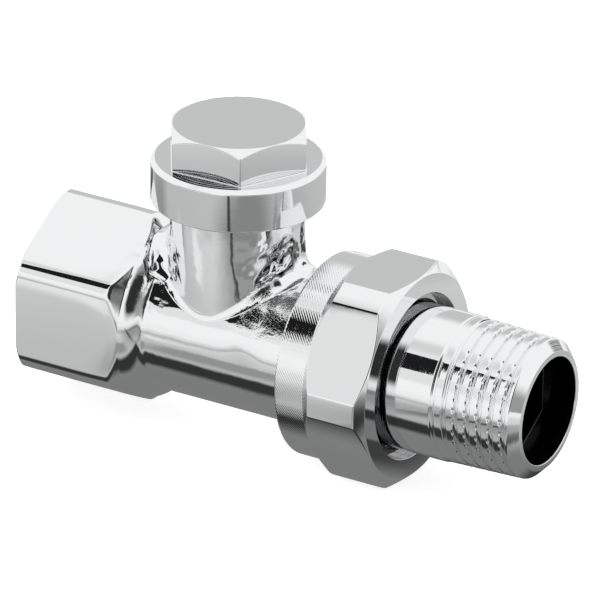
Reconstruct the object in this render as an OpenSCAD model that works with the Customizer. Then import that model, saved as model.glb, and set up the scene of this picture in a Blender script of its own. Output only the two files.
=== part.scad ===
// Straight radiator return valve with screw cap and union tailpiece, half inch, millimetres.
// The origin is on the axis of the run, where the inlet's full thread begins, just inside its mouth.
// +X runs along the pipe to the tailpiece, +Z up the neck.

/* [Inlet socket] */
// Width across the flats of the inlet hexagon
inlet_af = 26.3; // [25.8:0.1:30]
// Length of the inlet hexagon, from the mouth to its shoulder
inlet_hex_len = 14.8; // [13.5:0.1:20]
// Radius of the forged edges of the inlet hexagon
inlet_edge_r = 2.2; // [0.8:0.1:3]
// Minor diameter of the inlet's female pipe thread
inlet_thread_d = 18.64; // [17:0.02:19]
// Depth of the inlet thread
inlet_thread_depth = 12.5; // [10:0.1:14]
// Length of the lead at the mouth of the inlet thread
inlet_lead = 1; // [0.4:0.1:1.2]
// Diameter of the water way behind the inlet thread
inlet_way_d = 15; // [12:0.1:16]

/* [Run of the body] */
// Distance from the inlet mouth to the axis of the neck
inlet_reach = 29; // [27.5:0.1:36]
// Outer diameter of the run between the bulb and the outlet
run_d = 22; // [21:0.1:24]
// Outer diameter of the bulb behind the inlet hexagon
bulb_d = 26.2; // [24:0.1:26.3]
// Radius of the bulb's round
bulb_round_r = 4.3; // [3:0.1:5]
// Radius of the hollow round where the bulb meets the run
bulb_foot_r = 1; // [0.5:0.1:1.5]

/* [Neck] */
// Outer diameter of the neck
neck_d = 19; // [18.4:0.1:20]
// Height of the neck's top face above the run's axis
neck_top_z = 24.6; // [23:0.1:30]
// Radius of the blend between the neck and the run
neck_blend_r = 2.5; // [1.5:0.1:3]
// Diameter of the cap thread on the neck
cap_thread_d = 20; // [19.6:0.1:20.6]

/* [Seat and water ways] */
// Diameter of the seat's hole
seat_d = 8.4; // [7:0.1:8.6]
// Height of the seat's face above the run's axis
seat_z = 2.3; // [1.8:0.1:2.6]
// Height of the seat's raised lip
seat_lip = 0.8; // [0.4:0.1:1]
// Diameter of the low way from the inlet to the seat
low_way_d = 8.8; // [7.5:0.1:9]
// Diameter of the high way from the seat chamber to the outlet
high_way_d = 7.4; // [6:0.1:7.6]
// Diameter of the seat chamber
chamber_d = 14; // [13.4:0.1:14.4]

/* [Outlet and union] */
// Major diameter of the union thread on the body
union_thread_d = 26.4; // [25.6:0.1:27]
// Distance from the neck's axis to the start of the union thread
union_thread_start = 15.6; // [14:0.1:18]
// Length of the union thread
union_thread_len = 9; // [7:0.1:12]
// Diameter of the outlet's water way
outlet_way_d = 16; // [13:0.1:16.4]

/* [Union nut] */
// Width across the flats of the union nut
nut_af = 30; // [29.5:0.1:34]
// Height that turning takes off each corner of the nut's hexagon
nut_corner_trim = 0.92; // [0.3:0.02:1.6]
// Length of the nut's round collar
collar_len = 4.7; // [3:0.1:7]
// Step from the nut's flats down to its round collar
collar_step = 0.2; // [0.1:0.1:0.6]
// Length of the nut's hexagon
nut_hex_len = 10; // [8:0.1:14]
// Diameter of the recess in the nut's front face
nut_recess_d = 24; // [23:0.1:26]
// Depth of the recess in the nut's front face
nut_recess_depth = 1.4; // [0.8:0.1:2]
// Thickness of the nut's lip behind the recess
nut_lip = 1.76; // [1.4:0.02:2.4]

/* [Tailpiece] */
// Outer diameter of the tailpiece's plain shank
tail_d = 21; // [20.7:0.1:21.3]
// Diameter of the tailpiece's pipe thread over its crests, at the middle of its length
tail_thread_d = 20.56; // [20:0.02:20.6]
// Length of the tailpiece past the nut's front face
tail_out = 20.9; // [18:0.1:30]
// Length of the tailpiece's threaded end
tail_thread_len = 13; // [10:0.1:15]
// Diameter of the tailpiece's mouth
tail_mouth_d = 15.5; // [14.4:0.1:16]
// Depth of the round mouth in front of the key hexagon
tail_mouth_depth = 4.5; // [3:0.1:6]
// Width across the flats of the hexagon for the fitting key
tail_key_af = 12.8; // [11:0.1:13.2]
// Thickness of the tailpiece's flange
tail_flange = 1.7; // [1.4:0.1:2.4]

/* [Cap] */
// Width across the flats of the cap's hexagon
cap_af = 18.8; // [18:0.1:20]
// Outer diameter of the cap's skirt
skirt_d = 24.8; // [24:0.1:27]
// How far the skirt reaches down from the neck's top face
skirt_drop = 4.3; // [3.5:0.1:4.6]
// Height of the skirt with its flange
skirt_h = 6.35; // [5.5:0.05:8]
// Height of the cap's hexagon above the flange
cap_hex_h = 5.15; // [4:0.05:7]
// Angle by which the cap's hexagon is turned about the neck
cap_turn = 2.2; // [0:0.1:60]

/* [Spindle and bonnet] */
// Diameter of the bonnet's thread in the neck
bonnet_thread_d = 15; // [14.4:0.1:15.2]
// Diameter of the bonnet's flange
bonnet_flange_d = 16.4; // [16.2:0.1:16.8]
// Width across the flats of the bonnet's hexagon
bonnet_af = 13; // [12.6:0.1:13.2]
// Height of the bonnet's hexagon above the neck's top face
bonnet_proud = 2; // [1:0.1:2.2]
// Thread diameter of the shut-off spindle
spindle_thread_d = 12; // [11:0.1:12.4]
// Stem diameter of the shut-off spindle
stem_d = 8.4; // [8:0.1:8.6]
// Width across the flats of the spindle's key socket
spindle_key_af = 5; // [4.6:0.1:5.4]
// Lift of the spindle from shut to open
spindle_lift = 3.5; // [2:0.1:3.5]
// Diameter of the preset screw's thread
preset_d = 4.4; // [4:0.1:4.5]
// Lift of the preset screw from shut to open
preset_lift = 3; // [1:0.1:3]
// Thickness of the O-rings' section
ring_t = 1.4; // [1.2:0.05:1.5]

/* [Fits] */
// Radial running clearance of threads and stems
fit = 0.05; // [0.02:0.01:0.1]
// Gap between faces that are pressed together
face_gap = 0.02; // [0.01:0.01:0.05]

/* [Hidden] */
$fn = 96;

// Colours
chrome = [0.80, 0.81, 0.83];
brass = [0.78, 0.63, 0.33];
rubber = [0.08, 0.08, 0.09];
fibre = [0.55, 0.16, 0.12];

// Places along the run
mouth_x = -inlet_lead;
neck_x = mouth_x + inlet_reach;

// Inlet hexagon, seen along the pipe with a corner on top
mouth_round_r = inlet_af / 2 + 0.75;
mouth_slope = 30;
inlet_corner_r = inlet_af / 2 / cos(30);
inlet_hex_x = mouth_x + inlet_hex_len;

// Bulb
bulb_r = bulb_d / 2;
run_r = run_d / 2;
bulb_x = inlet_hex_x + 1.2;
bulb_centre_r = bulb_r - bulb_round_r;
foot_span = sqrt(pow(bulb_round_r + bulb_foot_r, 2) - pow(run_r + bulb_foot_r - bulb_centre_r, 2));
foot_x = bulb_x + foot_span;

// Neck and what it holds, from the top down
skirt_z = neck_top_z - skirt_drop;
neck_r = neck_d / 2;
cap_thread_r = cap_thread_d / 2;
cap_thread_z = skirt_z - 0.4;
flange_seat_z = neck_top_z - 4.6;
ring_seat_z = flange_seat_z - 1.6;
ring_seat_r = bonnet_thread_d / 2 + 0.2;
bonnet_ring_t = 1.15;
bonnet_bottom_z = seat_z + 7.5;
bonnet_hex_z = flange_seat_z + 1.6;
bonnet_top_z = neck_top_z + bonnet_proud;
chamber_z = seat_z - seat_lip;
wall_min = 1.4;

// Outlet and union, along the run
thread_x = neck_x + union_thread_start;
outlet_x = thread_x + union_thread_len;
union_thread_r = union_thread_d / 2;
flare_r = 2.2;
cone_depth = 2;
cone_mouth_r = union_thread_r - 2;
cone_floor_r = cone_mouth_r - cone_depth;
flange_r = union_thread_r - 1.3;
flange_x = outlet_x + 0.1;
lip_x = flange_x + tail_flange + face_gap;
nut_front_x = lip_x + nut_lip + nut_recess_depth;
nut_back_x = nut_front_x - nut_hex_len - collar_len;
nut_hex_x = nut_back_x + collar_len;
nut_corner_r = nut_af / 2 / cos(30) - nut_corner_trim;
collar_r = nut_af / 2 - collar_step;
tail_end_x = nut_front_x + tail_out;
tail_r = tail_d / 2;
tail_thread_r = tail_thread_d / 2;
tail_thread_x = tail_end_x - tail_thread_len;
tail_ring_t = 1.1;
tail_ring_x = outlet_x - 0.8;
tail_ring_r = cone_mouth_r - 0.8 - (tail_ring_t / 2 + 0.03) * sqrt(2);

// Spindle, washer and preset screw, at rest on the seat
washer_z = seat_z + face_gap;
washer_t = 1.5;
washer_r = seat_d / 2 + 1.7;
washer_hole_r = washer_r - 2.25;
disc_z = washer_z + washer_t + face_gap;
disc_t = 1.8;
stem_top_z = bonnet_top_z - 1.4;
thread_top_z = bonnet_bottom_z + 4.4;
stem_r = stem_d / 2;
spindle_thread_r = spindle_thread_d / 2;
preset_r = preset_d / 2;
preset_head_z = seat_z + 10.3;
preset_bore_z = preset_head_z + preset_lift + 0.4;
preset_ring_t = ring_t * 0.6;
key_depth = 4;
key_way_r = spindle_key_af / 2 + 0.05;
stem_ring_z = [bonnet_top_z - 4.4, bonnet_top_z - 2];
stem_ring_r = stem_r + face_gap + ring_t / 2;

// Cap
skirt_r = skirt_d / 2;
flange_z = skirt_z + skirt_h;
cap_top_z = flange_z + cap_hex_h;
rim_chamfer = 0.6;
gasket_t = 1;
gasket_z = neck_top_z + face_gap;
gasket_r = cap_thread_r - 0.15;
gasket_hole_r = bonnet_flange_d / 2;
cap_room_r = gasket_hole_r - 0.3;
cap_ceiling_z = cap_top_z - 2.2;

// A round solid about the pipe's axis, from a profile of [radius, x]
module about_run() {
    rotate([0, 90, 0]) rotate_extrude() children();
}

// A plain cylinder along the pipe's axis, from x0 to x1
module rod(r, x0, x1, z = 0) {
    translate([x0, 0, z]) rotate([0, 90, 0]) cylinder(r = r, h = x1 - x0);
}

// A cylinder that stands on z0 about the neck's axis
module post(r, z0, z1) {
    translate([neck_x, 0, z0]) cylinder(r = r, h = z1 - z0);
}

// A hexagon given by its width across the flats, with a corner on +X
module hexagon(af) {
    circle(r = af / 2 / cos(30), $fn = 6);
}

// The same with round corners
module round_hexagon(af, corner_r) {
    inner_r = (af / 2 - corner_r) / cos(30);
    union() {
        for (k = [0:5]) {
            a = 60 * k;
            rotate(a) translate([inner_r, 0]) circle(r = corner_r);
            rotate(a + 30) translate([0, -inner_r / 2]) square([af / 2, inner_r]);
        }
    }
}

// An O-ring that lies flat about a vertical axis
module o_ring(r, t) {
    rotate_extrude() translate([r, 0]) circle(r = t / 2, $fn = 48);
}

// Blend between the neck and the run: a ball of radius b rolls round the neck on the run.
// The run's outline at x, with the bulb's round and its hollow foot
function run_outline(x) =
    x < bulb_x ? bulb_r
    : x < bulb_x + foot_span * bulb_round_r / (bulb_round_r + bulb_foot_r)
        ? bulb_centre_r + sqrt(pow(bulb_round_r, 2) - pow(x - bulb_x, 2))
    : x < foot_x ? run_r + bulb_foot_r - sqrt(pow(bulb_foot_r, 2) - pow(foot_x - x, 2))
    : run_r;
// Samples of the outline that a ball centred at x could touch, as [height of the centre, x of the touch]
function ball_tries(x, b) = [for (k = [-24:24]) let (t = x + b * k / 25)
    [run_outline(t) + sqrt(b * b - pow(x - t, 2)), t]];
function highest(tries, k = 0) = k == len(tries) - 1 ? tries[k]
    : let (rest = highest(tries, k + 1)) tries[k][0] > rest[0] ? tries[k] : rest;
function unit(v) = v / norm(v);
// One section of the blend, at the angle a round the neck: the ball's arc and three points inside the metal
function blend_section(a, b, sink, steps) = let (
        x = neck_x + (neck_r + b) * cos(a),
        y = (neck_r + b) * sin(a),
        touch = highest(ball_tries(x, b)),
        z = sqrt(pow(touch[0], 2) - y * y),
        centre = [x, y, z],
        to_neck = [-cos(a), -sin(a), 0],
        foot = [touch[1], y * run_outline(touch[1]) / touch[0], z * run_outline(touch[1]) / touch[0]],
        to_run = unit(foot - centre),
        turn = acos(to_neck * to_run),
        side = unit(to_run - to_neck * cos(turn)),
        r = b + sink,
        neck_end = centre + r * to_neck,
        run_end = centre + r * to_run)
    concat(
        [for (k = [0:steps]) centre + r * (to_neck * cos(turn * k / steps) + side * sin(turn * k / steps))],
        [run_end + to_run - 0.4 * side,
         centre + (r + 1.2) * unit(to_neck + to_run),
         neck_end + to_neck - [0, 0, 0.4]]);
module neck_blend() {
    steps = 6;
    turns = 60;
    per = steps + 4;
    rings = [for (k = [0:turns - 1]) blend_section(360 * k / turns, neck_blend_r, 0.03, steps)];
    polyhedron(
        points = [for (ring = rings) each ring],
        faces = [for (k = [0:turns - 1]) for (j = [0:per - 1])
            let (n = (k + 1) % turns, m = (j + 1) % per)
            each [[k * per + j, n * per + j, k * per + m], [k * per + m, n * per + j, n * per + m]]],
        convexity = 6);
}

// The forged outside of the body
module body_outside() {
    // Inlet hexagon: its mouth and its shoulder are turned
    intersection() {
        translate([mouth_x, 0, 0]) rotate([0, 90, 0])
            linear_extrude(bulb_x - mouth_x + 1) round_hexagon(inlet_af, inlet_edge_r);
        about_run() polygon([
            [0, mouth_x],
            [mouth_round_r, mouth_x],
            [inlet_corner_r + 1, mouth_x + (inlet_corner_r + 1 - mouth_round_r) * tan(mouth_slope)],
            [inlet_corner_r + 1, inlet_hex_x - 1],
            [bulb_r - 0.2, inlet_hex_x + inlet_corner_r - bulb_r + 0.2],
            [0, inlet_hex_x + inlet_corner_r - bulb_r + 0.2]]);
    }
    // Bulb, run and the flare to the union thread
    about_run() difference() {
        union() {
            intersection() {
                translate([bulb_centre_r, bulb_x]) circle(r = bulb_round_r);
                translate([0, bulb_x - 3]) square([bulb_r + 1, bulb_round_r + 3]);
            }
            translate([0, bulb_x - 3]) square([bulb_centre_r, foot_x - bulb_x + 3]);
            translate([0, bulb_x]) square([run_r, thread_x - bulb_x]);
            translate([0, bulb_x]) square([run_r + bulb_foot_r, foot_x - bulb_x]);
            translate([0, thread_x - flare_r]) square([union_thread_r - 0.9, flare_r]);
        }
        translate([run_r + bulb_foot_r, foot_x]) circle(r = bulb_foot_r);
        translate([bulb_centre_r, bulb_x]) difference() {
            square([bulb_round_r + 3, foot_span * 0.8]);
            circle(r = bulb_round_r);
        }
        translate([run_r + flare_r, thread_x - flare_r]) circle(r = flare_r);
    }
    // Union thread, with a lead at its front
    about_run() polygon([
        [0, thread_x - 0.01],
        [union_thread_r - 0.9, thread_x - 0.01],
        [union_thread_r, thread_x + 0.5],
        [union_thread_r, outlet_x - 0.9],
        [union_thread_r - 0.9, outlet_x],
        [0, outlet_x]]);
    // Neck, with the cap thread at its top
    post(neck_r, 0, cap_thread_z - 0.4);
    translate([neck_x, 0, 0]) rotate_extrude() polygon([
        [0, cap_thread_z - 1],
        [neck_r, cap_thread_z - 0.5],
        [cap_thread_r, cap_thread_z],
        [cap_thread_r, neck_top_z - 0.5],
        [cap_thread_r - 0.5, neck_top_z],
        [0, neck_top_z]]);
    neck_blend();
}

// The ways for the water, and the seat
module body_ways() {
    inlet_floor_x = neck_x - chamber_d / 2 - wall_min - 0.9;
    // Inlet thread with its lead, and the way behind it
    about_run() polygon([
        [0, mouth_x - 1],
        [inlet_thread_d / 2 + inlet_lead, mouth_x - 1],
        [inlet_thread_d / 2 + inlet_lead, mouth_x],
        [inlet_thread_d / 2, mouth_x + inlet_lead],
        [inlet_thread_d / 2, mouth_x + inlet_thread_depth],
        [0, mouth_x + inlet_thread_depth]]);
    rod(inlet_way_d / 2, mouth_x + inlet_thread_depth - 1, inlet_floor_x);
    // Low way to the underside of the seat
    rod(low_way_d / 2, inlet_floor_x - 1, neck_x + seat_d / 2 + 0.4, -low_way_d / 2 - 0.2);
    post(seat_d / 2, -low_way_d / 2, seat_z + 1);
    // Chamber over the seat, with the lip left standing
    difference() {
        post(chamber_d / 2, chamber_z, bonnet_bottom_z + 1);
        translate([neck_x, 0, chamber_z - 1])
            cylinder(r1 = seat_d / 2 + 2.8, r2 = seat_d / 2 + 1, h = seat_lip + 1);
    }
    // High way to the outlet
    rod(high_way_d / 2, neck_x, neck_x + 11.4, chamber_z + high_way_d / 2 + 0.1);
    // Outlet way and the seat of the tailpiece's cone
    about_run() polygon([
        [0, neck_x + 10],
        [outlet_way_d / 2, neck_x + 10],
        [outlet_way_d / 2, outlet_x - cone_depth],
        [cone_floor_r, outlet_x - cone_depth],
        [cone_mouth_r, outlet_x],
        [cone_mouth_r, outlet_x + 1],
        [0, outlet_x + 1]]);
    // Bonnet thread, its ring's seat and the seat of its flange
    post(bonnet_thread_d / 2 + fit, bonnet_bottom_z - 0.8, flange_seat_z);
    post(ring_seat_r, ring_seat_z, flange_seat_z + 0.5);
    post(bonnet_flange_d / 2 + 0.1, flange_seat_z, neck_top_z + 1);
}

module valve_body() {
    color(chrome) difference() {
        body_outside();
        body_ways();
    }
}

// Bonnet: screws into the neck and carries the spindle
module bonnet() {
    color(brass) difference() {
        union() {
            translate([neck_x, 0, 0]) rotate_extrude() polygon([
                [0, bonnet_bottom_z],
                [bonnet_thread_d / 2 - 0.6, bonnet_bottom_z],
                [bonnet_thread_d / 2, bonnet_bottom_z + 0.6],
                [bonnet_thread_d / 2, ring_seat_z],
                [ring_seat_r - bonnet_ring_t - face_gap, ring_seat_z],
                [ring_seat_r - bonnet_ring_t - face_gap, flange_seat_z + face_gap],
                [bonnet_flange_d / 2, flange_seat_z + face_gap],
                [bonnet_flange_d / 2, bonnet_hex_z],
                [0, bonnet_hex_z]]);
            translate([neck_x, 0, bonnet_hex_z - 0.1])
                linear_extrude(bonnet_top_z - bonnet_hex_z + 0.1) hexagon(bonnet_af);
        }
        post(spindle_thread_r + fit, bonnet_bottom_z - 1, thread_top_z + spindle_lift + 0.2);
        post(stem_r + fit, bonnet_bottom_z, bonnet_top_z + 1);
        for (z = stem_ring_z)
            post(stem_ring_r + ring_t / 2 + face_gap, z - ring_t / 2 - face_gap, z + ring_t / 2 + face_gap);
    }
}

module bonnet_o_ring() {
    color(rubber) translate([neck_x, 0, (ring_seat_z + flange_seat_z) / 2])
        o_ring(ring_seat_r - bonnet_ring_t / 2 - face_gap / 2, bonnet_ring_t);
}

module stem_o_ring(k) {
    color(rubber) translate([neck_x, 0, stem_ring_z[k]]) o_ring(stem_ring_r, ring_t);
}

// Hollow spindle that shuts the seat and carries the preset screw
module shut_off_spindle() {
    color(brass) translate([neck_x, 0, 0]) difference() {
        rotate_extrude() polygon([
            [0, washer_z + 0.2],
            [washer_hole_r - 0.05, washer_z + 0.2],
            [washer_hole_r - 0.05, disc_z],
            [washer_r + 0.3, disc_z],
            [washer_r + 0.3, disc_z + disc_t - 0.3],
            [washer_r, disc_z + disc_t],
            [spindle_thread_r - 0.8, disc_z + disc_t],
            [spindle_thread_r - 0.8, disc_z + disc_t + 0.8],
            [spindle_thread_r, disc_z + disc_t + 1.4],
            [spindle_thread_r, thread_top_z - 0.6],
            [spindle_thread_r - 0.6, thread_top_z],
            [stem_r, thread_top_z],
            [stem_r, stem_top_z - 0.4],
            [stem_r - 0.4, stem_top_z],
            [0, stem_top_z]]);
        translate([0, 0, washer_z - 1]) cylinder(r = preset_r + fit, h = preset_bore_z - washer_z + 1);
        translate([0, 0, preset_bore_z - 0.1]) cylinder(r = key_way_r, h = stem_top_z - preset_bore_z + 1);
        translate([0, 0, stem_top_z - key_depth]) linear_extrude(key_depth + 1) hexagon(spindle_key_af);
    }
}

// Soft washer under the spindle's disc
module seat_washer() {
    color(rubber) translate([neck_x, 0, washer_z]) difference() {
        cylinder(r = washer_r, h = washer_t);
        translate([0, 0, -1]) cylinder(r = washer_hole_r, h = washer_t + 2);
    }
}

// Preset screw inside the spindle: its nose throttles the seat's hole
module preset_screw() {
    slot_w = 0.9;
    slot_depth = 1;
    groove_z = preset_head_z - 2.4;
    color(brass) translate([neck_x, 0, 0]) difference() {
        rotate_extrude() polygon([
            [0, seat_z - 3],
            [preset_r - 1.5, seat_z - 3],
            [preset_r - 0.5, seat_z - 0.6],
            [preset_r - 0.5, seat_z + 1.4],
            [preset_r, seat_z + 1.9],
            [preset_r, groove_z - preset_ring_t / 2 - face_gap],
            [preset_r - preset_ring_t, groove_z - preset_ring_t / 2 - face_gap],
            [preset_r - preset_ring_t, groove_z + preset_ring_t / 2 + face_gap],
            [preset_r, groove_z + preset_ring_t / 2 + face_gap],
            [preset_r, preset_head_z],
            [0, preset_head_z]]);
        translate([-preset_r - 1, -slot_w / 2, preset_head_z - slot_depth])
            cube([preset_d + 2, slot_w, slot_depth + 1]);
    }
}

module preset_o_ring() {
    color(rubber) translate([neck_x, 0, preset_head_z - 2.4])
        o_ring(preset_r - preset_ring_t / 2 + face_gap, preset_ring_t);
}

// Screw cap that covers the spindle
module cap() {
    chamfer_slope = 33;
    corner_r = cap_af / 2 / cos(30) + 0.2;
    top_r = cap_af / 2 - 0.1;
    color(chrome) translate([neck_x, 0, 0]) difference() {
        union() {
            rotate_extrude() polygon([
                [0, skirt_z],
                [skirt_r - 0.25, skirt_z],
                [skirt_r, skirt_z + 0.25],
                [skirt_r, flange_z - rim_chamfer],
                [skirt_r - rim_chamfer, flange_z],
                [0, flange_z]]);
            intersection() {
                translate([0, 0, flange_z - 0.1]) rotate(cap_turn)
                    linear_extrude(cap_hex_h + 0.1) hexagon(cap_af);
                rotate_extrude() polygon([
                    [0, flange_z - 0.2],
                    [corner_r, flange_z - 0.2],
                    [corner_r, cap_top_z - (corner_r - top_r) * tan(chamfer_slope)],
                    [top_r, cap_top_z],
                    [0, cap_top_z]]);
            }
        }
        rotate_extrude() polygon([
            [0, skirt_z - 1],
            [cap_thread_r + fit + 0.6, skirt_z - 1],
            [cap_thread_r + fit + 0.6, skirt_z],
            [cap_thread_r + fit, skirt_z + 0.6],
            [cap_thread_r + fit, gasket_z + gasket_t + face_gap],
            [cap_room_r, gasket_z + gasket_t + face_gap],
            [cap_room_r, cap_ceiling_z - 0.8],
            [cap_room_r - 0.8, cap_ceiling_z],
            [0, cap_ceiling_z]]);
    }
}

// Flat gasket between the cap and the neck's top face
module cap_gasket() {
    color(fibre) translate([neck_x, 0, gasket_z]) difference() {
        cylinder(r = gasket_r, h = gasket_t);
        translate([0, 0, -1]) cylinder(r = gasket_hole_r, h = gasket_t + 2);
    }
}

// Union nut: a turned collar, a hexagon with turned corners, a lip that holds the tailpiece's flange
module union_nut() {
    front_r = nut_af / 2 - 0.2;
    step = nut_corner_r - nut_af / 2;
    color(chrome) difference() {
        union() {
            about_run() polygon([
                [0, nut_back_x],
                [collar_r - 0.4, nut_back_x],
                [collar_r, nut_back_x + 0.4],
                [collar_r, nut_hex_x + 0.2],
                [0, nut_hex_x + 0.2]]);
            intersection() {
                translate([nut_hex_x, 0, 0]) rotate([0, 90, 0]) rotate(30)
                    linear_extrude(nut_hex_len) hexagon(nut_af);
                about_run() polygon([
                    [0, nut_hex_x],
                    [nut_af / 2 - 0.1, nut_hex_x],
                    [nut_corner_r, nut_hex_x + step + 0.1],
                    [nut_corner_r, nut_front_x - (nut_corner_r - front_r) * 0.6],
                    [front_r, nut_front_x],
                    [0, nut_front_x]]);
            }
        }
        about_run() polygon([
            [0, nut_back_x - 1],
            [union_thread_r + fit + 0.5, nut_back_x - 1],
            [union_thread_r + fit + 0.5, nut_back_x],
            [union_thread_r + fit, nut_back_x + 0.5],
            [union_thread_r + fit, lip_x],
            [0, lip_x]]);
        rod(tail_r + 0.25, lip_x - 1, nut_front_x + 1);
        rod(nut_recess_d / 2, nut_front_x - nut_recess_depth, nut_front_x + 1);
    }
}

// Union tailpiece: cone with a ring groove, flange, threaded end, hexagon for the fitting key
module tailpiece() {
    nose_x = outlet_x - cone_depth + 0.1;
    nose_r = cone_floor_r - 0.15;
    root_r = cone_mouth_r - 0.15 + 0.05;
    way_r = tail_key_af / 2 - 0.2;
    lead = 1.6;
    color(chrome) difference() {
        about_run() polygon([
            [0, nose_x],
            [nose_r, nose_x],
            [root_r, outlet_x + 0.05],
            [root_r, flange_x],
            [flange_r, flange_x],
            [flange_r, flange_x + tail_flange],
            [tail_r, flange_x + tail_flange],
            [tail_r, tail_thread_x - tail_r + tail_thread_r],
            [tail_thread_r, tail_thread_x],
            [tail_thread_r, tail_end_x - lead],
            [tail_thread_r - 1.7, tail_end_x],
            [0, tail_end_x]]);
        rod(way_r, nose_x - 1, tail_end_x + 1);
        rod(tail_mouth_d / 2, tail_end_x - tail_mouth_depth, tail_end_x + 1);
        translate([tail_thread_x - 1, 0, 0]) rotate([0, 90, 0])
            linear_extrude(tail_thread_len + 1 - tail_mouth_depth + 0.1) hexagon(tail_key_af);
        // Groove for the ring on the cone
        about_run() translate([tail_ring_r - tail_ring_t / 2 - face_gap, tail_ring_x - tail_ring_t / 2 - face_gap])
            square([3, tail_ring_t + 2 * face_gap]);
    }
}

module tail_o_ring() {
    color(rubber) translate([tail_ring_x, 0, 0]) rotate([0, 90, 0]) o_ring(tail_ring_r, tail_ring_t);
}

valve_body();
bonnet();
bonnet_o_ring();
stem_o_ring(1);  // upper_stem_o_ring
stem_o_ring(0);  // lower_stem_o_ring
shut_off_spindle();
seat_washer();
preset_screw();
preset_o_ring();
cap();
cap_gasket();
union_nut();
tailpiece();
tail_o_ring();
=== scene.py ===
import math

import bpy
import numpy as np
from mathutils import Matrix, Vector


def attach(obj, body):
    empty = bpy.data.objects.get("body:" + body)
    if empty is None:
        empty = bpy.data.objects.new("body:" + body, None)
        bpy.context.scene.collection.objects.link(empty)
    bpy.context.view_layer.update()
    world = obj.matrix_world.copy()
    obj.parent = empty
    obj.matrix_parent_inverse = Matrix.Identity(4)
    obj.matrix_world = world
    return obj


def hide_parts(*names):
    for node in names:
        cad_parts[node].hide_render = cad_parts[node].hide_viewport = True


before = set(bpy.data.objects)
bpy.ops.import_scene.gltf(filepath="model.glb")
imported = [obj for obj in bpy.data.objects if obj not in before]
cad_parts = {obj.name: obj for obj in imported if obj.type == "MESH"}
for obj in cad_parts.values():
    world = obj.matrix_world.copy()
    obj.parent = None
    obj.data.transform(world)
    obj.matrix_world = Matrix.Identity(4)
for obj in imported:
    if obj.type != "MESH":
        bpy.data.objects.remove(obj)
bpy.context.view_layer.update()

# Sizes in millimetres, in the frame of the CAD model
MM = 0.001
NECK_X = 28.0
# Fourteen turns to the inch, and the depth of such a thread
PITCH, DEPTH = 1.814, 1.162
# Inlet. Its faces fall away towards their corners and, over a length, towards the shoulder
MOUTH_X, MOUTH_R, SOCKET_R = -1.0, 13.9, 10.32
INLET_R, INLET_END = 9.32, 11.5
INLET_AF, INLET_EDGE, SHOULDER_X = 26.3, 2.7, 13.8
CORNER_DROP, FACE_DROP, FACE_DROP_LENGTH = 0.12, 0.16, 6.4
# Run, the bulb at its start, the union thread at its end, and the ways inside
RUN_R, BULB_R, BULB_X, BULB_ROUND, BULB_FOOT = 11.0, 13.1, 15.0, 4.3, 1.0
THREAD_X, OUTLET_X, UNION_R, UNION_START_R, FLARE_R = 43.6, 52.6, 13.2, 12.3, 2.2
IN_WAY_R, IN_WAY_END, OUT_WAY_R, OUT_WAY_END = 7.5, 18.7, 8.0, 38.0
LOW_WAY_Z, LOW_WAY_R, HIGH_WAY_Z, HIGH_WAY_R = -4.6, 4.4, 5.3, 3.7
# Neck
NECK_R, NECK_TOP, NECK_THREAD_Z, NECK_MOUTH_R = 9.5, 24.6, 19.9, 8.3
BONNET_SEAT_Z, BONNET_SEAT_R, BONNET_THREAD_Z, BONNET_THREAD_R = 20.0, 7.7, 18.4, 7.55
CHAMBER_R, CHAMBER_TOP, CHAMBER_FLOOR = 7.0, 9.8, 1.5
# Cap
CAP_THREAD_R, CAP_PITCH = 10.0, 1.0
SKIRT_Z, SKIRT_R, FLANGE_Z = 20.3, 12.4, 26.65
CAP_AF, CAP_EDGE, CAP_TURN, CAP_TOP, CAP_TOP_R = 18.8, 0.35, 2.2, 31.8, 9.3
CAP_LEAD_R, CAP_BORE_R, CAP_BORE_TOP, CAP_ROOM_R, CAP_ROOM_TOP = 10.65, 10.05, 25.66, 7.9, 29.6
# Union nut
NUT_BACK, NUT_HEX, NUT_FRONT = 42.88, 47.58, 57.58
NUT_AF, NUT_CORNER, COLLAR_R, NUT_FRONT_R = 30.0, 16.4, 14.8, 14.8
NUT_MOUTH_R, NUT_BORE_R, RECESS_R, RECESS, LIP_R, LIP = 13.9, 13.25, 12.0, 1.4, 10.75, 3.16
# Tailpiece
TAIL_BACK, TAIL_PLAIN_END, TAIL_THREAD, TAIL_END = 50.7, 64.5, 65.48, 78.48
TAIL_R, TAIL_PIPE_R, TAIL_END_R = 10.5, 10.38, 8.6
TAIL_FLANGE_R, TAIL_FLANGE_BACK, TAIL_FLANGE_FRONT = 11.9, 52.7, 54.4
TAIL_MOUTH_R, TAIL_MOUTH, TAIL_WAY_R, KEY_AF, KEY_EDGE = 7.75, 4.5, 6.2, 12.8, 0.4


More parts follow.
